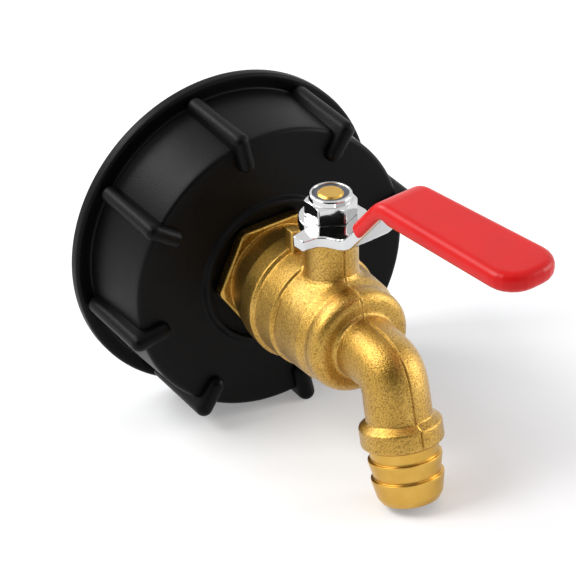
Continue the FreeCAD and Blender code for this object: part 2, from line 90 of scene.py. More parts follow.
# Body: boss for the stem, and stop lug, whose scales are shares of its half width
STEM_ALONG = 48.5
BOSS_R, BOSS_FOOT, BOSS_TOP, BOSS_ROOT_R = 5.8, 8.0, 21.4, 1.3
BOSS_FOOT_FLARE, BOSS_PLAIN_TOP, BOSS_SKIN = 0.1, 0.8, 0.2
BOSS_ROOT_SHARE, BOSS_ROOT_ABOVE, BOSS_ROOT_IN = 0.8, 4.0, 2.0
PACKING_R = 4.2
LUG_X, LUG_ALONG, LUG_W, LUG_LEN = -3.0, 37.6, 2.4, 3.4
LUG_FOOT, LUG_TOP, LUG_SHOULDER = 9.0, 18.2, 5.0
LUG_FOOT_SCALE, LUG_SHOULDER_SCALE, LUG_TOP_SCALE = 1.25, 1.12, 1.0

# Body: bend, spout, collar and hose tail
SPOUT_TILT, SPOUT_ALONG, SPOUT_R, BEND_R, BEND_BULGE = 14.0, 72.7, 7.2, 7.9, 0.8
COLLAR_FROM, COLLAR_LEN, COLLAR_R = 10.6, 5.8, 9.0
COLLAR_BEVEL_T, COLLAR_RIM_T, COLLAR_RIM_W = 1.3, 0.5, 0.7
TAIL_ROOT_R, TAIL_ROOT_LEN, TAIL_ROOT_RISE = 7.5, 2.9, 0.2
BARB_COUNT, BARB_PITCH, BARB_CREST_R, BARB_STEP = 2, 4.3, 8.0, 0.1
BARB_TAPER, BARB_LAND, BARB_FACE_T, BARB_ROOT_CUT = 0.75, 0.6, 0.05, 0.15
TAIL_END_LEN, TAIL_END_R = 1.5, 6.3

# Body: traces of the casting. Each wave is (waves round the body, turns per mm along it, start).
PARTING_H, PARTING_W, PARTING_GROOVE, PARTING_GROOVE_AT = 0.20, 0.14, 0.22, 2.2
PARTING_CROWDING = 0.42
CASTING_WAVE, BOSS_WAVE_SHARE, CASTING_PLAIN_END = 0.035, 0.6, 1.0
CASTING_WAVES = ((3, 0.31, 0.0), (5, -0.53, 1.3), (2, 0.87, 0.4), (11, 0.71, 0.0))
BOSS_WAVES, BOSS_WAVE_RISE = 3, 0.9
SLIT_DEPTH, SLIT_ALONG, SLIT_W, SLIT_ANGLE, SLIT_SPREAD = 0.45, 45.2, 0.3, 165.0, 0.25
CAST_END_GAP, TURNED_FROM_GAP, OUTSIDE_MARGIN = 0.05, 0.02, 0.4
BODY_COLUMNS, BOSS_COLUMNS, LUG_COLUMNS = 244, 192, 64

# Lever
LEVER_ANGLE = 9.0
PLATE_T, PLATE_Z, PLATE_EDGE = 2.6, 23.4, 0.45
HUB_R, HUB_SIDE, HUB_SIDE_EDGE = 7.1, 3.0, 2.0
HUB_RIGHT_END, HUB_LEFT_END, HUB_STEPS = 0.0, -178.0, 10   # angles where the hub's arc stops
EAR_REACH, EAR_BACK, EAR_FRONT = 12.0, 1.4, 5.0
EAR_ROOT_IN, EAR_SLANT, EAR_ROOT_OUT = 0.1, 0.8, 2.2
NECK_HALF, NECK_FROM, PADDLE_HALF, LEVER_LEN, PADDLE_CORNER_R = 5.5, 10.7, 6.1, 61.5, 5.0
RISE_ANGLE, RISE, BEND_IN_R = 49.0, 13.6, 2.5
ARM_START, ARM_END, SLOPE_STEP = -20.0, 90.0, 0.05      # the arm's line reaches past its metal
HUB_ROWS, PADDLE_ROWS, GRIP_ROWS = 90, 120, 210

# Sleeve on the lever. It is bare underneath until GRIP_FLOOR_FROM past the slope.
GRIP_WALL, GRIP_FROM, GRIP_ROOT_HALF, GRIP_TIP_HALF = 1.0, 15.6, 6.75, 8.05
GRIP_TIP_WALL, GRIP_CORNER_R, GRIP_EDGE = 2.3, 6.5, 2.0
GRIP_FLOOR_FROM, GRIP_FLOOR_BLEND = 1.5, 1.6
GRIP_BARE_LIFT, GRIP_BARE_EDGE = 0.25, 0.7
GRIP_SLACK, GRIP_MOUTH_DEPTH = 0.05, 1.5

# Nut
NUT_AF, NUT_HEX_H, NUT_H, NUT_COLLAR_R, NUT_TURN = 10.0, 4.0, 5.5, 4.7, 32.0
NUT_BORE_R, NUT_POCKET_R, NUT_POCKET = 2.85, 3.9, 2.0
NUT_FOOT_BEVEL_T, NUT_FOOT_BEVEL_W, NUT_TOP_BEVEL_T, NUT_TOP_BEVEL_W = 0.35, 0.2, 0.5, 0.15
NUT_STEP, NUT_RIM_T, NUT_CORNER_CUT, NUT_HEX_BELOW = 0.05, 0.6, 0.12, 0.25

# End of the stem's thread
STEM_TOP, STEM_THREAD_R, STEM_END_R, STEM_PITCH, STEM_GROOVE = 31.5, 2.85, 2.4, 1.0, 0.4
STEM_SHOWN, STEM_BEVEL_T, STEM_PROUD, STEM_OVER = 2.2, 0.35, 0.02, 0.01
STEM_PLAIN_R, STEM_PLAIN_H, STEM_COLUMNS = 0.15, 0.05, 96

# Places that follow
PLATE_TOP = PLATE_Z + PLATE_T
HEX_BACK = CAP_LEN - FACE_RECESS + WASHER_T
HEX_FRONT = HEX_BACK + HEX_T
BODY_BACK = HEX_FRONT + NECK_LEN
ADAPTER_BACK = MOUTH_DEPTH - CAP_HUB_LEN
ADAPTER_END = BODY_BACK + ADAPTER_TAIL_LEN
BEND_ANGLE = radians(90.0 - SPOUT_TILT)
BEND_REACH = BEND_R * tan(BEND_ANGLE / 2)
BEND_FROM = SPOUT_ALONG - BEND_REACH
BEND_TO = BEND_FROM + BEND_R * BEND_ANGLE
TAIL_FROM = COLLAR_FROM + COLLAR_LEN
BARBS_FROM = TAIL_FROM + TAIL_ROOT_LEN
TAIL_TO = BARBS_FROM + BARB_COUNT * BARB_PITCH + TAIL_END_LEN
SLOPE_TO = NECK_FROM + RISE / tan(radians(RISE_ANGLE))


# Materials: one function for each real material

def linear(hex_colour):
    """sRGB hex to the linear colour that shaders use."""
    parts = [int(hex_colour[i:i + 2], 16) / 255 for i in (1, 3, 5)]
    return tuple(c / 12.92 if c <= 0.04045 else ((c + 0.055) / 1.055) ** 2.4
                 for c in parts) + (1.0,)


def add(tree, kind, inputs=(), stops=(), **settings):
    """Adds a node, sets its settings, sets or links its inputs, and places its colour stops.

    Inputs are by name, or by number where a node has several of one name. Stops are
    (position, hex) and belong to a colour ramp."""
    node = tree.nodes.new("ShaderNode" + kind)
    for name, value in settings.items():
        setattr(node, name, value)
    for name, value in dict(inputs).items():
        if isinstance(value, bpy.types.NodeSocket):
            tree.links.new(value, node.inputs[name])
        else:
            node.inputs[name].default_value = value
    for number, (position, colour) in enumerate(stops):
        elements = node.color_ramp.elements
        element = elements[number] if number < len(elements) else elements.new(position)
        element.position = position
        element.color = linear(colour)
    return node


def new_material(name):
    """Material with an empty tree, and Object coordinates in millimetres."""
    material = bpy.data.materials.new(name)
    material.use_nodes = True
    tree = material.node_tree
    tree.nodes.clear()
    metres = add(tree, "TexCoord").outputs["Object"]
    place = add(tree, "Mapping", {"Vector": metres, "Scale": (1 / MM,) * 3}).outputs["Vector"]
    return material, tree, place


def cast_brass():
    """Sand-cast brass, blasted with shot: a dull gold skin whose pits scatter the light.

    Real pits are about 0.2 mm. They are drawn at 0.36 mm, as coarse as they need to be to show.
    The bottoms of the pits are rougher and painted darker, a painted shade in the hollows, and the
    tone drifts over about 6 mm."""
    material, tree, place = new_material("cast_brass")
    drift = add(tree, "TexNoise", {"Vector": place, "Scale": 1 / 6.0, "Detail": 3.0})
    grain = add(tree, "TexNoise", {"Vector": place, "Scale": 1 / 0.36, "Detail": 3.0,
                                   "Roughness": 0.6}).outputs["Fac"]
    gold = add(tree, "ValToRGB", {"Fac": drift.outputs["Fac"]},
               stops=[(0.3, "#bd943f"), (0.55, "#c79e49"), (0.75, "#d0a855")])
    # Painted shade: this ramp darkens the grain's low spots, the bottoms of the pits, as if shade
    # fell in them.
    pits = add(tree, "ValToRGB", {"Fac": grain}, stops=[(0.36, "#8d7b54"), (0.54, "#ffffff")])
    colour = add(tree, "Mix", {0: 0.7, 6: gold.outputs["Color"], 7: pits.outputs["Color"]},
                 data_type="RGBA", blend_type="MULTIPLY")
    rough = add(tree, "MapRange", {"Value": grain, "To Min": 0.42, "To Max": 0.27})
    bump = add(tree, "Bump", {"Height": grain, "Strength": 0.8, "Distance": 0.16 * MM})
    shader = add(tree, "BsdfPrincipled", {
        "Base Color": colour.outputs[2], "Metallic": 1.0, "Roughness": rough.outputs["Result"],
        "Normal": bump.outputs["Normal"], "Coat Weight": 0.3, "Coat Roughness": 0.35})
    add(tree, "OutputMaterial", {"Surface": shader.outputs["BSDF"]})
    return material


def turned_brass():
    """Brass cut on a lathe: brighter and smoother than the casting.

    The tool's marks, about 0.1 mm apart, are too fine to show, so they are a 0.25 mm unevenness."""
    material, tree, place = new_material("turned_brass")
    drift = add(tree, "TexNoise", {"Vector": place, "Scale": 1 / 4.0})
    gold = add(tree, "ValToRGB", {"Fac": drift.outputs["Fac"]},
               stops=[(0.3, "#c89d47"), (0.7, "#d2a954")])
    marks = add(tree, "TexNoise", {"Vector": place, "Scale": 1 / 0.25}).outputs["Fac"]
    rough = add(tree, "MapRange", {"Value": marks, "To Min": 0.24, "To Max": 0.36})
    bump = add(tree, "Bump", {"Height": marks, "Strength": 0.25, "Distance": 0.04 * MM})
    shader = add(tree, "BsdfPrincipled", {
        "Base Color": gold.outputs["Color"], "Metallic": 1.0,
        "Roughness": rough.outputs["Result"], "Normal": bump.outputs["Normal"]})
    add(tree, "OutputMaterial", {"Surface": shader.outputs["BSDF"]})
    return material


def black_polypropylene():
    """Injection-moulded polypropylene: near-black, with a soft sheen that is uneven over 9 mm.

    The mould's grain, about 0.1 mm, is drawn at 0.36 mm so that it shows."""
    material, tree, place = new_material("black_polypropylene")
    drift = add(tree, "TexNoise", {"Vector": place, "Scale": 1 / 9.0}).outputs["Fac"]
    black = add(tree, "ValToRGB", {"Fac": drift}, stops=[(0.3, "#050506"), (0.7, "#080808")])
    grain = add(tree, "TexNoise", {"Vector": place, "Scale": 1 / 0.36})
    rough = add(tree, "MapRange", {"Value": drift, "To Min": 0.34, "To Max": 0.46})
    bump = add(tree, "Bump", {"Height": grain.outputs["Fac"], "Strength": 0.5,
                              "Distance": 0.1 * MM})
    shader = add(tree, "BsdfPrincipled", {
        "Base Color": black.outputs["Color"], "Roughness": rough.outputs["Result"],
        "Normal": bump.outputs["Normal"], "Specular IOR Level": 0.1})
    add(tree, "OutputMaterial", {"Surface": shader.outputs["BSDF"]})
    return material


def chrome_plate():
    """Steel with polished chrome plating: a mirror with the 2.5 mm waviness of pressed metal."""
    material, tree, place = new_material("chrome_plate")
    waves = add(tree, "TexNoise", {"Vector": place, "Scale": 1 / 2.5, "Detail": 1.0})
    smudge = add(tree, "TexNoise", {"Vector": place, "Scale": 1 / 5.0, "Detail": 3.0})
    rough = add(tree, "MapRange", {"Value": smudge.outputs["Fac"], "From Min": 0.3,
                                   "From Max": 0.7, "To Min": 0.06, "To Max": 0.15})
    bump = add(tree, "Bump", {"Height": waves.outputs["Fac"], "Strength": 0.5,
                              "Distance": 0.12 * MM})
    shader = add(tree, "BsdfPrincipled", {
        "Base Color": linear("#cfcfcf"), "Metallic": 1.0, "Roughness": rough.outputs["Result"],
        "Normal": bump.outputs["Normal"]})
    add(tree, "OutputMaterial", {"Surface": shader.outputs["BSDF"]})
    return material


def red_vinyl():
    """Dipped vinyl sleeve: soft red plastic, half glossy, with the skin's 1.6 mm ripple."""
    material, tree, place = new_material("red_vinyl")
    drift = add(tree, "TexNoise", {"Vector": place, "Scale": 1 / 8.0}).outputs["Fac"]
    red = add(tree, "ValToRGB", {"Fac": drift}, stops=[(0.3, "#d20a0a"), (0.7, "#da0e0e")])
    ripple = add(tree, "TexNoise", {"Vector": place, "Scale": 1 / 1.6})
    rough = add(tree, "MapRange", {"Value": drift, "To Min": 0.26, "To Max": 0.36})
    bump = add(tree, "Bump", {"Height": ripple.outputs["Fac"], "Strength": 0.2,
                              "Distance": 0.06 * MM})
    shader = add(tree, "BsdfPrincipled", {
        "Base Color": red.outputs["Color"], "Roughness": rough.outputs["Result"],
        "Normal": bump.outputs["Normal"], "Specular IOR Level": 0.27})
    add(tree, "OutputMaterial", {"Surface": shader.outputs["BSDF"]})
    return material


def plain_material(name, spot, detail, stops, roughness):
    """Material of a hidden or small piece: one roughness, and a tone that drifts over spot mm."""
    material, tree, place = new_material(name)
    drift = add(tree, "TexNoise", {"Vector": place, "Scale": 1 / spot, "Detail": detail})
    tone = add(tree, "ValToRGB", {"Fac": drift.outputs["Fac"]}, stops=stops)
    shader = add(tree, "BsdfPrincipled", {"Base Color": tone.outputs["Color"],
                                          "Roughness": roughness})
    add(tree, "OutputMaterial", {"Surface": shader.outputs["BSDF"]})
    return material


def rubber():
    """Vulcanised rubber: matt black with a dusty bloom in 3 mm clouds."""
    return plain_material("nitrile_rubber", 3.0, 4.0, [(0.35, "#1b1b1b"), (0.7, "#2b2b2a")], 0.8)


def ptfe():
    """Turned fluoropolymer: waxy white, slightly uneven in tone."""
    return plain_material("ptfe", 2.0, 2.0, [(0.3, "#e6e6e1"), (0.7, "#f0f0ec")], 0.45)


def nylon():
    """Dyed nylon of a lock nut's ring: blue-grey and half glossy."""
    return plain_material("grey_nylon", 1.5, 2.0, [(0.3, "#3b4048"), (0.7, "#4b5059")], 0.4)


MATERIALS = {make.__name__: make() for make in (
    cast_brass, turned_brass, black_polypropylene, chrome_plate, red_vinyl, rubber, ptfe, nylon)}


# Surfaces: what the pieces share

def skin(name, grid, material, body, node=None, wrap_rows=False, sharp=38.0):
    """Closed mesh from a grid of points in mm: each four neighbours make a face.

    Columns wrap round. Rows wrap too, or end in a point. Edges steeper than sharp stay crisp."""
    rows, columns = grid.shape[:2]
    i = np.arange(rows if wrap_rows else rows - 1)[:, None]
    j = np.arange(columns)[None, :]
    below, beside = (i + 1) % rows, (j + 1) % columns
    quads = np.stack([i * columns + j, i * columns + beside,
                      below * columns + beside, below * columns + j], -1).reshape(-1, 4)
    mesh = bpy.data.meshes.new(name)
    mesh.from_pydata((grid.reshape(-1, 3) * MM).tolist(), [], quads.tolist())
    work = bmesh.new()
    work.from_mesh(mesh)
    bmesh.ops.remove_doubles(work, verts=work.verts, dist=MERGE * MM)
    bmesh.ops.recalc_face_normals(work, faces=work.faces)
    work.to_mesh(mesh)
    work.free()
    mesh.polygons.foreach_set("use_smooth", [True] * len(mesh.polygons))
    mesh.set_sharp_from_angle(angle=radians(sharp))
    mesh.materials.append(MATERIALS[material])
    piece = bpy.data.objects.new(name, mesh)
    bpy.context.scene.collection.objects.link(piece)
    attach(piece, body)
    if node:
        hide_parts(node)
    return piece


def rounded(corners, closed=True):
    """Outline through (a, b, rounding, spacing) corners.

    Each corner is an arc that touches both of its sides, with a point at least every 0.3 rad.
    Spacing divides the straight run after the corner."""
    points = np.array([c[:2] for c in corners], float)
    count = len(corners)
    arcs = []
    for k in range(count):
        radius = corners[k][2]
        back, on = points[k - 1] - points[k], points[(k + 1) % count] - points[k]
        back, on = back / np.linalg.norm(back), on / np.linalg.norm(on)
        if radius == 0 or (not closed and k in (0, count - 1)):
            arcs.append(points[k][None, :])
            continue
        half = np.arccos(np.clip(back @ on, -1, 1)) / 2
        reach = radius / np.tan(half)
        centre = points[k] + (back + on) / np.linalg.norm(back + on) * radius / np.sin(half)
        first, last = points[k] + back * reach - centre, points[k] + on * reach - centre
        sweep = pi - 2 * half
        steps = max(3, int(np.ceil(sweep / 0.3)))
        side = np.sign(first[0] * last[1] - first[1] * last[0])
        turn = side * np.linspace(0, sweep, steps + 1)
        arcs.append(centre + np.stack([first[0] * np.cos(turn) - first[1] * np.sin(turn),
                                       first[0] * np.sin(turn) + first[1] * np.cos(turn)], -1))
    runs = []
    for k in range(count if closed else count - 1):
        runs.append(arcs[k])
        start, end = arcs[k][-1], arcs[(k + 1) % count][0]
        pieces = max(1, int(np.ceil(np.linalg.norm(end - start) / corners[k][3])))
        share = np.arange(1, pieces)[:, None] / pieces
        runs.append(start + (end - start) * share)
    if not closed:
        runs.append(arcs[-1])
    return np.concatenate(runs)


def round_angles(count, crowding=0.0):
    """One row of angles round a full turn. Crowding draws them to the top and the bottom."""
    even = np.linspace(0, 2 * pi, count + 1)[None, :-1]
    return even + crowding * np.sin(2 * even)


def about_flow(along, radius, angle):
    """Points at an angle round the flow axis, from +X towards +Z, at a place along it."""
    along, radius, angle = np.broadcast_arrays(along, radius, angle)
    return np.stack([radius * np.cos(angle), -along, radius * np.sin(angle)], -1)


def about_stem(height, radius, angle):
    """Points at an angle round the stem axis, from +X towards +Y."""
    height, radius, angle = np.broadcast_arrays(height, radius, angle)
    return np.stack([radius * np.cos(angle), radius * np.sin(angle) - STEM_ALONG, height], -1)


def corner_radius(across_flats):
    """Radius of a hexagon's sharp corners."""
    return across_flats / 2 / cos(pi / 6)


def hexagon_radius(angle, across_flats, turn, corner_r):
    """Radius of a hexagon: the flats' distance over the cosine from the nearest flat.

    Its corners are cut off at corner_r."""
    off = (angle - turn) % (pi / 3) - pi / 6
    flat = across_flats / 2 / np.cos(off)
    return np.minimum(flat, corner_r)


# Cap

def make_cap():
    """Revolve of the cap's section. The skirt sinks a little between ribs, and is a little oval."""
    outline = rounded([
        (0.0, MOUTH_R, 0.3, 4.0), (0.0, FLANGE_R, 0.5, 4.0), (FLANGE_T, FLANGE_R, 0.8, 1.0),
        (FLANGE_T, SKIRT_BACK_R, 0.5, 1.5), (CAP_LEN, SKIRT_FRONT_R, SKIRT_CORNER_R, 2.5),
        (CAP_LEN, FACE_RING_R, 0.3, 1.0),
        (CAP_LEN + FACE_RING_H, FACE_RING_R - FACE_RING_BEVEL_W, 0.35, 1.0),
        (CAP_LEN + FACE_RING_H, FACE_RING_IN_R, 0.25, 1.0),
        (CAP_LEN - FACE_RECESS, FACE_RING_IN_R, 0.2, 3.0),
        (CAP_LEN - FACE_RECESS, ADAPTER_R, 0.0, 5.0), (ADAPTER_BACK, ADAPTER_R, 0.0, 3.0),
        (ADAPTER_BACK, CAP_HUB_R, 0.5, 3.0), (MOUTH_DEPTH, CAP_HUB_R, 0.5, 4.0),
        (MOUTH_DEPTH, MOUTH_R, 0.6, 5.0)])
    angle = round_angles(CAP_COLUMNS)
    along, radius = outline[:, :1], outline[:, 1:]
    on_skirt = ((along > FLANGE_T + SKIRT_BACK_MARGIN) & (along < CAP_LEN - SKIRT_FRONT_MARGIN)
                & (radius > MOUTH_R + SKIRT_INNER_MARGIN))
    sink = (SKIRT_SINK * np.cos(RIB_COUNT * (angle - radians(90 + RIB_PHASE)))
            + SKIRT_OVAL * np.sin(3 * angle))
    skin("tank_cap_skin", about_flow(along, radius + np.where(on_skirt, sink, 0), angle),
         "black_polypropylene", "root", "tank_cap", wrap_rows=True)


def make_ribs():
    """Grip ribs: a domed section up the skirt, fanned over its corner and in across the face.

    At each end the half section turns about its middle line, so the end is round in plan."""
    dome = np.linspace(0, pi, 19)
    side = np.concatenate([[-RIB_R - RIB_FLARE], -RIB_R * np.cos(dome), [RIB_R + RIB_FLARE]])
    rise = np.concatenate([[-RIB_SUNK], RIB_R * np.sin(dome), [-RIB_SUNK]])
    over, under = np.maximum(rise, 0), np.minimum(rise, 0)
    quarter = np.linspace(0, pi / 2, RIB_TURN_STEPS)[:, None]
    foot = FLANGE_T + RIB_R
    half, height = np.cos(quarter) * side, np.broadcast_to(rise, (RIB_TURN_STEPS, len(rise)))
    past_end = np.sin(quarter) * np.abs(side)
    back_end = np.stack([RIB_LINE_R + height, foot - past_end, half], -1)[::-1]
    share = np.linspace(0, 1, 13)[1:-1, None]
    up_skirt = np.stack(np.broadcast_arrays(
        RIB_LINE_R + rise, foot + (RIB_LINE_ALONG - foot) * share + under * share, side), -1)
    fan = np.stack([RIB_LINE_R + over * np.cos(quarter) + under,
                    RIB_LINE_ALONG + over * np.sin(quarter) + under,
                    np.broadcast_to(side, half.shape)], -1)
    end = RIB_LINE_R - RIB_REACH
    front_end = np.stack([end - past_end, RIB_LINE_ALONG + height, half], -1)
    path = np.concatenate([back_end, up_skirt, fan, front_end])
    for k in range(RIB_COUNT):
        a = radians(90 + RIB_PHASE + 360 / RIB_COUNT * k)
        out, beside = np.array([cos(a), 0, sin(a)]), np.array([-sin(a), 0, cos(a)])
        points = path[..., :1] * out + path[..., 2:] * beside - path[..., 1:2] * np.array([0, 1, 0])
        skin(f"grip_rib_{k + 1}", points, "black_polypropylene", "root",
             sharp=60.0)


def make_cap_thread():
    """Coarse thread in the mouth: a trapezium along a helix, faded in and out at its ends."""
    turns = (THREAD_TO - THREAD_FROM) / THREAD_PITCH
    share = np.linspace(0, 1, THREAD_ROWS)[:, None]
    angle = share * turns * 2 * pi
    middle = THREAD_FROM + share * turns * THREAD_PITCH
    fade = np.clip(np.minimum(share, 1 - share) / THREAD_FADE, 0.0, 1.0)
    height = THREAD_H * fade
    across = np.array([[-THREAD_BASE / 2, -THREAD_CREST / 2, THREAD_CREST / 2, THREAD_BASE / 2,
                        THREAD_BASE / 2, -THREAD_BASE / 2]])
    depth = np.array([[0.0, 1.0, 1.0, 0.0, 0.0, 0.0]])
    sunk = np.array([[THREAD_FLANK_SUNK, 0.0, 0.0, THREAD_FLANK_SUNK,
                      THREAD_ROOT_SUNK, THREAD_ROOT_SUNK]])
    points = about_flow(middle + across * np.maximum(fade, THREAD_END_SHARE),
                        MOUTH_R + sunk - height * depth, angle)
    first, last = (row.mean(1, keepdims=True).repeat(across.shape[1], 1)
                   for row in (points[:1], points[-1:]))
    skin("tank_cap_thread", np.concatenate([first, points, last]), "black_polypropylene", "root",
         sharp=30.0)


# Adapter

def make_adapter():
    """Revolve of the adapter's section.

    Rows on the hexagon take the smaller of the hexagon and the turning, and its front edge is
    drawn in by a parabola."""
    corner_r = corner_radius(HEX_AF)
    turning = rounded([
        (ADAPTER_BACK, ADAPTER_BORE_R, 0.0, 3.0),
        (ADAPTER_BACK, ADAPTER_R - ADAPTER_BEVEL, 0.0, 3.0),
        (ADAPTER_BACK + ADAPTER_BEVEL, ADAPTER_R, 0.0, 5.0), (HEX_BACK, ADAPTER_R, 0.0, 5.0),
        (HEX_BACK, corner_r - HEX_BACK_BEVEL_W, 0.0, 0.4),
        (HEX_BACK + HEX_BEVEL_T, corner_r, 0.15, 0.5),
        (HEX_FRONT - HEX_BEVEL_T, corner_r, 0.3, 0.2),
        (HEX_FRONT, corner_r - HEX_FRONT_BEVEL_W, 0.3, 0.4),
        (HEX_FRONT, NECK_R, 0.15, 0.5), (BODY_BACK - NECK_GAP, NECK_R, 0.0, 0.5),
        (BODY_BACK - NECK_GAP, ADAPTER_TAIL_R, 0.0, 5.0),
        (ADAPTER_END, ADAPTER_TAIL_R, 0.0, 3.0), (ADAPTER_END, ADAPTER_BORE_R, 0.0, 9.0)])
    angle = round_angles(HEX_COLUMNS)
    along, radius = turning[:, :1], turning[:, 1:]
    on_hexagon = ((along > HEX_BACK - TINY) & (along < HEX_FRONT + TINY)
                  & (radius > NECK_R + HEX_ABOVE_NECK))
    hexagon = hexagon_radius(angle, HEX_AF, radians(HEX_TURN), corner_r - HEX_CORNER_CUT)
    edge = np.clip((along - HEX_FRONT + HEX_EDGE) / HEX_EDGE, 0, 1) ** 2 * HEX_EDGE
    radius = np.where(on_hexagon, np.minimum(radius, hexagon - edge), radius)
    skin("inlet_adapter_skin", about_flow(along, radius, angle), "cast_brass", "root",
         "inlet_adapter", wrap_rows=True, sharp=30.0)


# Body

def body_path(place):
    """Centre line of the body: straight with the flow, round the bend, straight down the spout.

    Returns the centre, the direction across that starts as up, and the share of the bend done."""
    share = np.clip((place - BEND_FROM) / (BEND_TO - BEND_FROM), 0, 1)
    turn = BEND_ANGLE * share
    before = np.minimum(place, BEND_FROM)
    after = np.maximum(place - BEND_TO, 0)
    along = before + BEND_R * np.sin(turn) + after * cos(BEND_ANGLE)
    height = -BEND_R + BEND_R * np.cos(turn) - after * sin(BEND_ANGLE)
    up = np.stack([np.zeros_like(turn), -np.sin(turn), np.cos(turn)], -1)
    centre = np.stack([np.zeros_like(turn), -along, height], -1)
    return centre, up, share


def spout_place(t):
    """Place on the body's path of a point t down the spout from where the two axes cross."""
    return BEND_TO + t - BEND_REACH


def body_outline():
    """Section of the body as (place along the path, radius): out to the tail and back inside."""
    cast = [
        (BODY_BACK, BODY_BACK_R, 0.2, 0.3), (BAND_FROM, BAND_BACK_R, 3.0, 0.4),
        (BAND_TO, BAND_R, 0.5, 0.2),
        (STEP_FROM, STEP_BACK_R, 0.35, 0.4), (STEP_TO, STEP_FRONT_R, 0.25, 0.2),
        (BARREL_FROM, BARREL_BACK_R, 0.45, 0.25), (BARREL_TO, BARREL_FRONT_R, 1.2, 0.25),
        (WAIST_ALONG, WAIST_R, 1.2, 0.25), (BULGE_FROM, BULGE_R, 1.2, 0.25),
        (BULGE_TO, BULGE_R, 2.7, 0.25), (BULGE_FACE, SPOUT_R, 1.0, 0.25),
        (BEND_FROM, SPOUT_R, 0.0, 0.25),
        (spout_place(COLLAR_FROM), SPOUT_R, 0.6, 0.25),
        (spout_place(COLLAR_FROM + COLLAR_BEVEL_T), COLLAR_R, 0.8, 0.3),
        (spout_place(TAIL_FROM - COLLAR_RIM_T), COLLAR_R, 0.5, 0.2),
        (spout_place(TAIL_FROM), COLLAR_R - COLLAR_RIM_W, 0.2, 0.4),
        (spout_place(TAIL_FROM), TAIL_ROOT_R + TAIL_ROOT_RISE, 0.2, 0.4)]
    barbs = []
    for k in range(BARB_COUNT):
        start = spout_place(BARBS_FROM + BARB_PITCH * k)
        crest = BARB_CREST_R - BARB_STEP * k
        root = TAIL_ROOT_R - BARB_ROOT_CUT - BARB_STEP * k
        barbs += [(start - BARB_FACE_T, root, 0.15, 0.2), (start, crest, 0.12, 0.3),
                  (start + BARB_LAND, crest, 0.3, 0.4)]
    end = spout_place(TAIL_TO)
    tail = [(end - TAIL_END_LEN, BARB_CREST_R - BARB_STEP - BARB_TAPER, 0.8, 0.3),
            (end, TAIL_END_R, 0.5, 0.4), (end, ADAPTER_BORE_R, 0.2, 1.0)]
    inside = [(BEND_TO, ADAPTER_BORE_R, 0.0, 1.0), (BEND_FROM, ADAPTER_BORE_R, 0.0, 3.0),
              (CHAMBER_FRONT, ADAPTER_BORE_R, 0.0, 3.0), (CHAMBER_FRONT, CHAMBER_FRONT_R, 0.0, 2.0),
              (CHAMBER_TO, CHAMBER_R, 0.0, 2.0), (ADAPTER_END, CHAMBER_R, 0.0, 2.0),
              (ADAPTER_END, ADAPTER_TAIL_R + SOCKET_CLEAR, 0.0, 4.0),
              (BODY_BACK, ADAPTER_TAIL_R + SOCKET_CLEAR, 0.0, 1.0)]
    return rounded(cast + barbs + tail + inside)


def parting_line(from_plane):
    """Height of the line where the casting's halves met: a bell-shaped ridge beside a groove."""
    ridge = PARTING_H * np.exp(-(from_plane / PARTING_W) ** 2)
    return ridge - PARTING_GROOVE * np.exp(
        -((from_plane + PARTING_GROOVE_AT * PARTING_W) / PARTING_W) ** 2)


def make_body():
    """The body's section carried along its bent path.

    The cast rows are swollen by the parting line and by the mean of four slow sine waves, and
    sunk at one slit. The bend's outside is lifted by a squared sine, and the skin rises to the
    boss in a quarter round."""
    outline = body_outline()
    place, radius = outline[:, :1], outline[:, 1:]
    angle = round_angles(BODY_COLUMNS, PARTING_CROWDING)
    centre, up, share = body_path(place[:, 0])
    outside = np.arange(len(outline))[:, None] <= np.argmax(place[:, 0])
    cast_to = spout_place(TAIL_FROM)
    is_cast = (outside & (radius > ADAPTER_BORE_R + OUTSIDE_MARGIN) & (place > BODY_BACK)
               & (place < cast_to - CAST_END_GAP))
    wave = sum(np.sin(count * angle + pitch * place + start)
               for count, pitch, start in CASTING_WAVES) / len(CASTING_WAVES)
    edge = np.clip(np.minimum(place - BODY_BACK, cast_to - place) / CASTING_PLAIN_END, 0, 1)
    uneven = parting_line(radius * np.cos(angle)) + CASTING_WAVE * wave * edge
    slit = (SLIT_DEPTH * np.exp(-((place - SLIT_ALONG) / SLIT_W) ** 2)
            * np.exp(-((angle - radians(SLIT_ANGLE)) / SLIT_SPREAD) ** 6))
    swollen = radius + np.where(is_cast, uneven, 0) - np.where(is_cast, slit, 0)
    hump = np.where(outside, (BEND_BULGE * np.sin(pi * share) ** 2)[:, None], 0)
    beside, above = swollen * np.cos(angle), swollen * np.sin(angle) + hump
    points = (centre[:, None, :] + beside[..., None] * np.array([1.0, 0.0, 0.0])
              + above[..., None] * up[:, None, :])
    off = np.hypot(points[..., 0], points[..., 1] + STEM_ALONG) - BOSS_R
    near = np.clip(BOSS_ROOT_R - off, 0, BOSS_ROOT_R)
    fillet = BOSS_ROOT_R - np.sqrt(BOSS_ROOT_R ** 2 - near ** 2 + 1e-9)
    at_boss = outside & (points[..., 2] > BOSS_ROOT_ABOVE) & (off > -BOSS_ROOT_IN)
    points[..., 2] += np.where(at_boss, fillet * BOSS_ROOT_SHARE, 0)
    body = skin("valve_body_skin", points, "cast_brass", "root", "valve_body",
                wrap_rows=True, sharp=50.0)
    finish_tail(body.data)


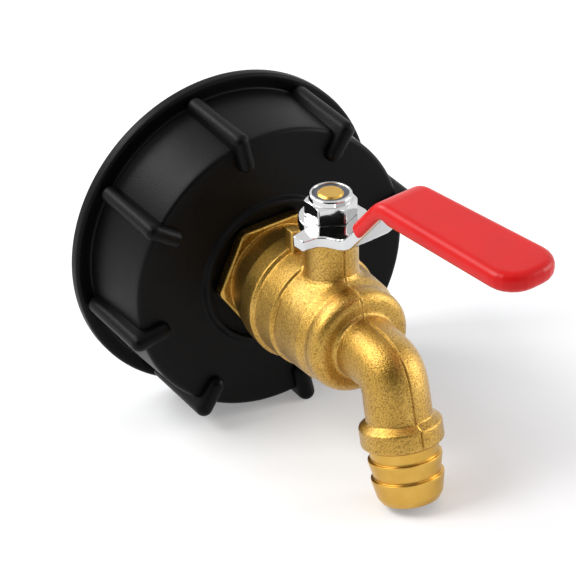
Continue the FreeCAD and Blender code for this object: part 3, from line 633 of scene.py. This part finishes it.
def finish_tail(mesh):
    """Gives turned brass to the faces whose depth down the spout is past the collar."""
    mesh.materials.append(MATERIALS["turned_brass"])
    centres = np.empty(3 * len(mesh.polygons), np.float32)
    mesh.polygons.foreach_get("center", centres)
    down = np.array([0.0, -sin(radians(SPOUT_TILT)), -cos(radians(SPOUT_TILT))])
    depth = (centres.reshape(-1, 3) - np.array([0.0, -SPOUT_ALONG * MM, 0.0])) @ down
    turned = (depth > (TAIL_FROM - TURNED_FROM_GAP) * MM).astype(np.int32)
    mesh.polygons.foreach_set("material_index", turned)


def make_boss():
    """Round stem boss, turned flat on top, with the parting line down its front and back.

    Its cast side is swollen by the parting line and by one sine wave that winds upwards."""
    outline = rounded([
        (BOSS_FOOT, PACKING_R, 0.0, 9.0), (BOSS_FOOT, BOSS_R + BOSS_FOOT_FLARE, 0.0, 0.5),
        (BOSS_TOP, BOSS_R, 0.5, 1.0), (BOSS_TOP, PACKING_R, 0.1, 9.0)])
    angle = round_angles(BOSS_COLUMNS, PARTING_CROWDING)
    height, radius = outline[:, :1], outline[:, 1:]
    wave = (CASTING_WAVE * np.sin(BOSS_WAVES * angle + BOSS_WAVE_RISE * height)
            * BOSS_WAVE_SHARE)
    uneven = parting_line(radius * np.cos(angle)) + wave
    is_cast = (radius > BOSS_R - BOSS_SKIN) & (height <= BOSS_TOP - BOSS_PLAIN_TOP)
    skin("stem_boss_skin", about_stem(height, radius + np.where(is_cast, uneven, 0), angle),
         "cast_brass", "root", wrap_rows=True, sharp=40.0)


def make_lug():
    """Cast stop lug: a squared ellipse (fourth powers) that narrows upwards to a rounded top."""
    outline = rounded([
        (LUG_FOOT, 0.0, 0.0, 9.0), (LUG_FOOT, LUG_FOOT_SCALE, 0.0, 1.0),
        (LUG_TOP - LUG_SHOULDER, LUG_SHOULDER_SCALE, 0.5, 0.6),
        (LUG_TOP, LUG_TOP_SCALE, 0.45, 0.5), (LUG_TOP, 0.0, 0.0, 0.5)], closed=False)
    angle = round_angles(LUG_COLUMNS)
    height, scale = outline[:, :1], outline[:, 1:]
    square = (np.abs(np.cos(angle)) ** 4 + np.abs(np.sin(angle)) ** 4) ** -0.25
    x = LUG_X + scale * square * np.cos(angle) * LUG_W / 2
    along = LUG_ALONG + scale * square * np.sin(angle) * LUG_LEN / 2
    height = np.broadcast_to(height, x.shape)
    skin("stop_lug_skin", np.stack([x, -along, height], -1), "cast_brass", "root",
         sharp=60.0)


# Lever

def arm_path(out):
    """Height of the middle of the arm's metal and its slope, at distances out from the stem."""
    low = PLATE_Z + PLATE_T / 2
    bend = BEND_IN_R + PLATE_T / 2
    line = rounded([(ARM_START, low, 0, 40.0), (NECK_FROM, low, bend, 0.5),
                    (SLOPE_TO, low + RISE, bend, 0.5), (ARM_END, low + RISE, 0, 90.0)],
                   closed=False)
    height = np.interp(out, line[:, 0], line[:, 1])
    ahead = np.interp(out + SLOPE_STEP, line[:, 0], line[:, 1])
    behind = np.interp(out - SLOPE_STEP, line[:, 0], line[:, 1])
    return height, np.arctan2(ahead - behind, 2 * SLOPE_STEP)


def on_arm(plan, lift):
    """Points on the bent arm, turned to the lever's angle about the stem.

    Plan is (across the arm, out from the stem), and lift is square to the arm's middle."""
    across, out = plan[..., 0], plan[..., 1]
    height, slope = arm_path(out)
    flat_out = out - lift * np.sin(slope)
    up = height + lift * np.cos(slope)
    turn = radians(LEVER_ANGLE)
    x = across * cos(turn) + flat_out * sin(turn)
    y = across * sin(turn) - flat_out * cos(turn) - STEM_ALONG
    return np.stack([x, y, up], -1)


def resample(line, count):
    """The same line with count points at even distances."""
    length = np.concatenate([[0], np.cumsum(np.linalg.norm(np.diff(line, axis=0), axis=1))])
    at = np.linspace(0, length[-1], count)
    return np.stack([np.interp(at, length, line[:, 0]), np.interp(at, length, line[:, 1])], -1)


def outward(line, side):
    """Unit normals of a plan line, towards its outer side."""
    tangent = np.gradient(line, axis=0)
    tangent /= np.linalg.norm(tangent, axis=1)[:, None] + 1e-12
    return np.stack([tangent[:, 1], -tangent[:, 0]], -1) * side


def plate_grid(left, right, top, bottom, top_r, bottom_r, turns=6, spans=14):
    """Plate between two plan lines: rows run out along it, columns go round its section.

    Top and bottom are the lifts of the two faces. Each edge is a quarter round that leaves its
    face and meets the side, and spans divide each face between the edges."""
    sweep = np.linspace(0, pi / 2, turns + 1)
    normal_l, normal_r = outward(left, -1.0), outward(right, 1.0)
    top, bottom = np.broadcast_to(top, len(left)), np.broadcast_to(bottom, len(left))
    top_r, bottom_r = np.broadcast_to(top_r, len(left)), np.broadcast_to(bottom_r, len(left))
    columns, lifts = [], []
    for line, normal, order in ((right, normal_r, 1), (left, normal_l, -1)):
        side, rise = [], []
        for turn in sweep:
            side.append(line - normal * (top_r * (1 - sin(turn)))[:, None])
            rise.append(top - top_r * (1 - cos(turn)))
        for turn in sweep[::-1]:
            side.append(line - normal * (bottom_r * (1 - sin(turn)))[:, None])
            rise.append(bottom + bottom_r * (1 - cos(turn)))
        columns.append(side[::order])
        lifts.append(rise[::order])
    plan, lift = [], []
    for k in (0, 1):
        plan += columns[k]
        lift += lifts[k]
        start, end = columns[k][-1], columns[1 - k][0]
        for share in np.linspace(0, 1, spans + 1)[1:-1]:
            plan.append(start + (end - start) * share)
            lift.append(lifts[k][-1])
    return np.stack(plan, 1), np.stack(lift, 1)


def hub_arc(end):
    """Corners of the hub's round back, from behind the stem to the angle at which it ends."""
    arc = np.radians(np.linspace(-90, end, HUB_STEPS))
    return [(0.0, -HUB_R, 0, 0.4)] + [(HUB_R * cos(a), HUB_R * sin(a), 0.0, 0.4) for a in arc[1:]]


def make_lever_plate():
    """Pressed lever: the plan lines of its two sides joined across, and bent along the arm."""
    right_hub = rounded(hub_arc(HUB_RIGHT_END) + [
        (HUB_R, HUB_SIDE, HUB_SIDE_EDGE, 0.4), (NECK_HALF, NECK_FROM, 0, 0.4)], closed=False)
    left_hub = rounded(hub_arc(HUB_LEFT_END) + [
        (-HUB_R + EAR_ROOT_IN, EAR_BACK - EAR_SLANT, 0.4, 0.3), (-EAR_REACH, EAR_BACK, 0.8, 0.3),
        (-EAR_REACH, EAR_FRONT, 0.6, 0.3),
        (-NECK_HALF - EAR_ROOT_OUT, EAR_FRONT + EAR_SLANT, 3.0, 0.3),
        (-NECK_HALF, NECK_FROM, 0, 0.4)], closed=False)
    paddle = rounded([
        (-NECK_HALF, NECK_FROM, 0, 0.5), (-PADDLE_HALF, LEVER_LEN, PADDLE_CORNER_R, 0.5),
        (0.0, LEVER_LEN, 0, 0.5)], closed=False)
    mirror = np.array([-1.0, 1.0])
    left = np.concatenate([resample(left_hub, HUB_ROWS)[:-1], resample(paddle, PADDLE_ROWS)])
    right = np.concatenate([resample(right_hub, HUB_ROWS)[:-1],
                            resample(paddle * mirror, PADDLE_ROWS)])
    plan, lift = plate_grid(left, right, PLATE_T / 2, -PLATE_T / 2, PLATE_EDGE, PLATE_EDGE)
    skin("lever_plate_skin", on_arm(plan, lift), "chrome_plate", "lever",
         "lever_plate", sharp=50.0)


def make_grip():
    """Vinyl sleeve: as the plate, thicker and rounder, and turned in at its open end.

    Under the slope it is bare, and its floor comes in by a smooth step where the slope ends."""
    tip = LEVER_LEN + GRIP_TIP_WALL
    side = rounded([(-GRIP_ROOT_HALF, GRIP_FROM, 0, 0.4), (-GRIP_TIP_HALF, tip, GRIP_CORNER_R, 0.4),
                    (0.0, tip, 0, 0.4)], closed=False)
    left = resample(side, GRIP_ROWS)
    right = left * np.array([-1.0, 1.0])
    closing = np.clip((left[:, 1] - (SLOPE_TO + GRIP_FLOOR_FROM)) / GRIP_FLOOR_BLEND, 0, 1)
    closing = closing * closing * (3 - 2 * closing)
    top = PLATE_T / 2 + GRIP_WALL
    bottom = -PLATE_T / 2 + GRIP_BARE_LIFT - (GRIP_WALL + GRIP_BARE_LIFT) * closing
    bottom_r = GRIP_BARE_EDGE + (GRIP_EDGE - GRIP_BARE_EDGE) * closing
    plan, lift = plate_grid(left, right, top, bottom, GRIP_EDGE, bottom_r, turns=8, spans=16)
    mouth_plan = plan[:1] * np.array([(GRIP_ROOT_HALF - GRIP_WALL) / GRIP_ROOT_HALF, 1.0])
    mouth_lift = np.clip(lift[:1], -PLATE_T / 2 - GRIP_SLACK, PLATE_T / 2 + GRIP_SLACK)
    inner_plan = mouth_plan + np.array([0.0, GRIP_MOUTH_DEPTH])
    heart_plan = np.zeros_like(inner_plan) + np.array([0.0, GRIP_FROM + GRIP_MOUTH_DEPTH])
    plan = np.concatenate([heart_plan, inner_plan, mouth_plan, plan])
    lift = np.concatenate([mouth_lift * 0, mouth_lift, mouth_lift, lift])
    skin("lever_grip_skin", on_arm(plan, lift), "red_vinyl", "lever", "lever_grip",
         sharp=60.0)


# Nut and stem

def make_nut():
    """Lock nut: the smaller of a hexagon and a turned section, below a round collar's pocket."""
    corner_r = corner_radius(NUT_AF)
    turning = rounded([
        (0.0, NUT_BORE_R, 0.0, 2.0), (0.0, NUT_AF / 2 - NUT_FOOT_BEVEL_W, 0.0, 0.3),
        (NUT_FOOT_BEVEL_T, corner_r, 0.1, 0.5),
        (NUT_HEX_H - NUT_TOP_BEVEL_T, corner_r, 0.1, 0.1),
        (NUT_HEX_H, NUT_AF / 2 - NUT_TOP_BEVEL_W, 0.1, 0.3),
        (NUT_HEX_H + NUT_STEP, NUT_COLLAR_R, 0.1, 0.3), (NUT_H, NUT_COLLAR_R - NUT_STEP, 0.6, 0.3),
        (NUT_H, NUT_POCKET_R + NUT_STEP, 0.3, 0.3), (NUT_H - NUT_RIM_T, NUT_POCKET_R, 0.1, 0.5),
        (NUT_H - NUT_POCKET, NUT_POCKET_R, 0.0, 1.0), (NUT_H - NUT_POCKET, NUT_BORE_R, 0.0, 4.0)])
    angle = round_angles(HEX_COLUMNS)
    height, radius = turning[:, :1], turning[:, 1:]
    on_hexagon = (height < NUT_HEX_H + TINY) & (radius > NUT_AF / 2 - NUT_HEX_BELOW)
    hexagon = hexagon_radius(angle, NUT_AF, radians(NUT_TURN), corner_r - NUT_CORNER_CUT)
    radius = np.where(on_hexagon, np.minimum(radius, hexagon), radius)
    skin("lock_nut_skin", about_stem(height + PLATE_TOP, radius, angle), "chrome_plate", "lever",
         "lock_nut", wrap_rows=True, sharp=30.0)


def make_stem_thread():
    """End of the stem's thread: the radius falls and rises with height less angle.

    The groove stops under the end's bevel."""
    top = STEM_TOP + STEM_PROUD
    outline = rounded([
        (STEM_TOP - STEM_SHOWN, 0.0, 0.0, 3.0), (STEM_TOP - STEM_SHOWN, STEM_THREAD_R, 0.0, 0.06),
        (STEM_TOP - STEM_BEVEL_T, STEM_THREAD_R, 0.0, 0.06), (top, STEM_END_R, 0.06, 0.5),
        (top, 0.0, 0.0, 0.5)], closed=False)
    angle = round_angles(STEM_COLUMNS)
    height, radius = outline[:, :1], outline[:, 1:]
    turn = ((STEM_TOP - height) / STEM_PITCH - angle / (2 * pi)) % 1.0
    groove = STEM_GROOVE * np.clip(1.5 - 3.0 * np.abs(turn - 0.5), 0, 1)
    threaded = (radius > STEM_END_R - STEM_PLAIN_R) & (height < STEM_TOP - STEM_PLAIN_H)
    cut = radius + STEM_OVER - np.where(threaded, groove, 0)
    skin("stem_thread", about_stem(height, cut, angle), "turned_brass", "lever",
         sharp=40.0)


def dress_nodes():
    """Materials of the nodes whose CAD shape is shown as it is."""
    finishes = {
        "tank_gasket": "rubber", "inlet_washer": "rubber", "body_seal_ring": "rubber",
        "stem_seal_ring": "rubber", "inlet_seat": "ptfe", "outlet_seat": "ptfe",
        "stem_thrust_washer": "ptfe", "stem_packing": "ptfe", "ball": "chrome_plate",
        "stem": "turned_brass", "packing_gland": "turned_brass", "lock_nut_insert": "nylon"}
    for node, finish in finishes.items():
        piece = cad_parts[node]
        piece.data.materials.clear()
        piece.data.materials.append(MATERIALS[finish])


# Stage, light and camera. The places of floor, lamps, card and camera target are in metres.

FLOOR_FRONT = Vector((0.0, -80.0, -30.1)) * MM      # under the end of the tail
FLOOR_BACK = Vector((0.0, -1.4, -38.05)) * MM       # under the cap's rim
FLOOR_HALF, FLOOR_DROP = 3.0, 0.0002
FLOOR_GLOW, ROOM_GLOW = 0.24, 0.55
CAMERA_AZIMUTH, CAMERA_ELEVATION, CAMERA_ROLL = -30.209, 31.145, -1.323
CAMERA_DISTANCE = 0.772815
CAMERA_TARGET = Vector((0.0, -0.027, -0.005))
FOCAL_PIXELS, IMAGE_PIXELS = 3499.626, 576
PRINCIPAL_U, PRINCIPAL_V = 281.62, 295.18
SENSOR_MM = 36.0

# Lamps: name, place, side and watts. The card: name, place and radius.
LAMPS = (("key", (-0.62, 0.2, 0.7), 0.5, 5.4), ("fill", (0.85, -0.4, 0.28), 0.45, 3.6),
         ("rim", (-0.4, 0.8, 0.62), 0.4, 3.8))
# The card is a painted dark reflection: only glossy surfaces see it.
DARK_CARD = ("dark_room", (-0.65, -1.1, 0.8), 0.95)


def picture_rays(tree):
    """1 for the rays by which the camera, gloss or clear things see, and 0 for light itself."""
    rays = add(tree, "LightPath")
    seen = add(tree, "Math", {0: rays.outputs["Is Camera Ray"], 1: rays.outputs["Is Glossy Ray"]},
               operation="MAXIMUM")
    return add(tree, "Math", {0: seen.outputs[0], 1: rays.outputs["Is Transmission Ray"]},
               operation="MAXIMUM").outputs[0]


def make_floor():
    """Pale floor under the cap's rim and the tail's end, with a glow that only pictures see."""
    right = Vector((1, 0, 0))
    along = (FLOOR_FRONT - FLOOR_BACK).normalized()
    normal = right.cross(along)
    if normal.z < 0:
        normal = -normal
    corners = [FLOOR_BACK + (right * a + along * b) * FLOOR_HALF - normal * FLOOR_DROP
               for a, b in ((-1, -1), (1, -1), (1, 1), (-1, 1))]
    mesh = bpy.data.meshes.new("floor")
    mesh.from_pydata(corners, [], [(0, 1, 2, 3)])
    floor = bpy.data.objects.new("floor", mesh)
    bpy.context.scene.collection.objects.link(floor)
    material, tree, _ = new_material("white_paper")
    paper = add(tree, "BsdfDiffuse", {"Color": linear("#e8e8e8")})
    lift = add(tree, "Emission", {"Color": (1, 1, 1, 1), "Strength": FLOOR_GLOW})
    both = add(tree, "AddShader", {0: paper.outputs[0], 1: lift.outputs[0]})
    mixed = add(tree, "MixShader", {0: picture_rays(tree), 1: paper.outputs[0],
                                    2: both.outputs[0]})
    add(tree, "OutputMaterial", {"Surface": mixed.outputs[0]})
    mesh.materials.append(material)


def make_world():
    """Even studio light, seen as white by the camera, by gloss and through clear things."""
    world = bpy.data.worlds.new("studio")
    bpy.context.scene.world = world
    world.use_nodes = True
    tree = world.node_tree
    tree.nodes.clear()
    glow = add(tree, "Background", {"Color": linear("#f2f4f8"), "Strength": ROOM_GLOW})
    white = add(tree, "Background", {"Color": (1, 1, 1, 1), "Strength": 1.0})
    mixed = add(tree, "MixShader", {0: picture_rays(tree), 1: glow.outputs[0],
                                    2: white.outputs[0]})
    add(tree, "OutputWorld", {"Surface": mixed.outputs[0]})


def add_softbox(name, place, size, power):
    """Square lamp that faces the valve."""
    lamp = bpy.data.lights.new(name, "AREA")
    lamp.energy = power
    lamp.size = size
    softbox = bpy.data.objects.new(name, lamp)
    bpy.context.scene.collection.objects.link(softbox)
    softbox.location = place
    facing = CAMERA_TARGET - Vector(place)
    softbox.rotation_euler = facing.to_track_quat("-Z", "Y").to_euler()


def add_dark_card(name, place, radius):
    """Round dark card that faces the valve.

    Only polished surfaces mirror it: a painted dark reflection that stands in for a dark studio,
    unseen by the camera, by diffuse light and by shadows."""
    turn = round_angles(48)[0]
    rim = np.stack([np.cos(turn), np.sin(turn), 0 * turn], -1) * radius
    facing = (CAMERA_TARGET - Vector(place)).to_track_quat("-Z", "Y").to_matrix()
    mesh = bpy.data.meshes.new(name)
    mesh.from_pydata((rim @ np.array(facing).T + np.array(place)).tolist(), [],
                     [list(range(len(rim)))])
    card = bpy.data.objects.new(name, mesh)
    bpy.context.scene.collection.objects.link(card)
    material, tree, _ = new_material("painted_dark_reflection")
    # Painted dark reflection: a black sheet that only gloss sees.
    reflected_dark = add(tree, "BsdfDiffuse", {"Color": linear("#050505")})
    add(tree, "OutputMaterial", {"Surface": reflected_dark.outputs[0]})
    mesh.materials.append(material)
    card.visible_camera = card.visible_diffuse = card.visible_shadow = False
    card.visible_transmission = card.visible_volume_scatter = False


def make_camera():
    """Camera at the photograph's angle: its back axis from azimuth and elevation, then the roll."""
    a, e, roll = radians(CAMERA_AZIMUTH), radians(CAMERA_ELEVATION), radians(CAMERA_ROLL)
    back = Vector((sin(a) * cos(e), -cos(a) * cos(e), sin(e)))
    level = Vector((cos(a), sin(a), 0))
    upright = back.cross(level)
    right = cos(roll) * level + sin(roll) * upright
    up = -sin(roll) * level + cos(roll) * upright
    lens = bpy.data.cameras.new("camera")
    lens.sensor_width = SENSOR_MM
    lens.lens = FOCAL_PIXELS / IMAGE_PIXELS * SENSOR_MM
    lens.shift_x = (IMAGE_PIXELS / 2 - PRINCIPAL_U) / IMAGE_PIXELS
    lens.shift_y = (PRINCIPAL_V - IMAGE_PIXELS / 2) / IMAGE_PIXELS
    lens.clip_start, lens.clip_end = 0.01, 20.0
    camera = bpy.data.objects.new("camera", lens)
    bpy.context.scene.collection.objects.link(camera)
    turn = Matrix((right, up, back)).transposed().to_4x4()
    camera.matrix_world = Matrix.Translation(CAMERA_TARGET + back * CAMERA_DISTANCE) @ turn
    bpy.context.scene.camera = camera


make_camera()
make_cap()
make_ribs()
make_cap_thread()
make_adapter()
make_body()
make_boss()
make_lug()
make_lever_plate()
make_grip()
make_nut()
make_stem_thread()
dress_nodes()
make_floor()
make_world()
for softbox_values in LAMPS:
    add_softbox(*softbox_values)
add_dark_card(*DARK_CARD)
bpy.context.scene.view_settings.view_transform = "Standard"
